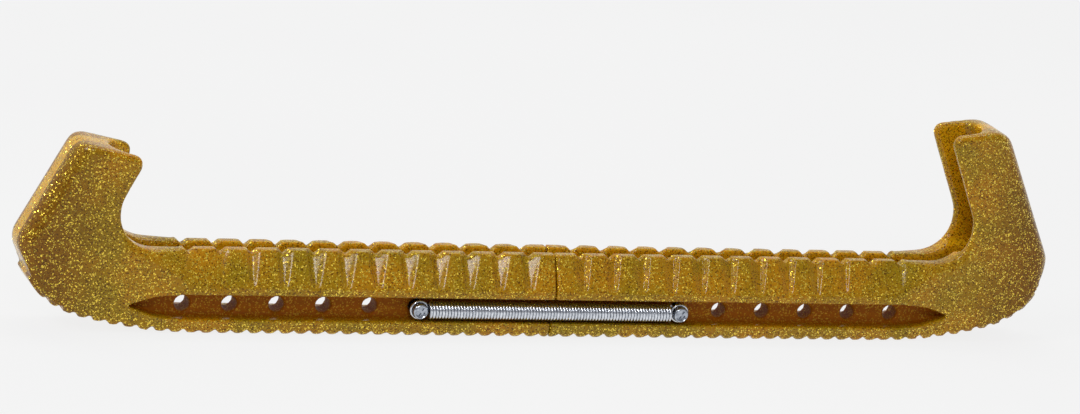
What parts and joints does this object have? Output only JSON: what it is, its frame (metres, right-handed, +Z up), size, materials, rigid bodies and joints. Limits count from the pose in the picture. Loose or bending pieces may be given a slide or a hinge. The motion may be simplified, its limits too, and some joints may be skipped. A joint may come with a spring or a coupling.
{
  "type": "skate blade guard",
  "caption": "Sprung figure-skate blade guard in two slotted halves with ribbed treads, end cups and fluted, notched rails, drawn together by coil springs.",
  "frame": {"origin": "on the floor, midway along the length and midway between the side walls, with the butt joint between the halves straight above", "axes": "+X along the guard towards the toe, +Y to the left side, +Z up"},
  "size_m": [0.3428, 0.021, 0.071],
  "materials": {
    "glitter_plastic": "translucent amber-gold plastic filled with glitter",
    "spring_steel": "bright spring wire",
    "plated_steel": "plated screw hardware"
  },
  "bodies": {
    "heel": {"heel_guard": "glitter_plastic", "heel_post": "plated_steel", "heel_screw": "plated_steel", "right_spring": "spring_steel", "left_spring": "spring_steel"},
    "toe": {"toe_guard": "glitter_plastic", "toe_post": "plated_steel", "toe_screw": "plated_steel"}
  },
  "joints": [
    {"name": "pull_apart", "type": "slide", "parent": "heel", "child": "toe", "axis": [1, 0, 0], "range_m": [0, 0.03], "stiffness_N_per_m": 2290, "springref_m": -0.004, "deforming": ["right_spring", "left_spring"]}
  ]
}
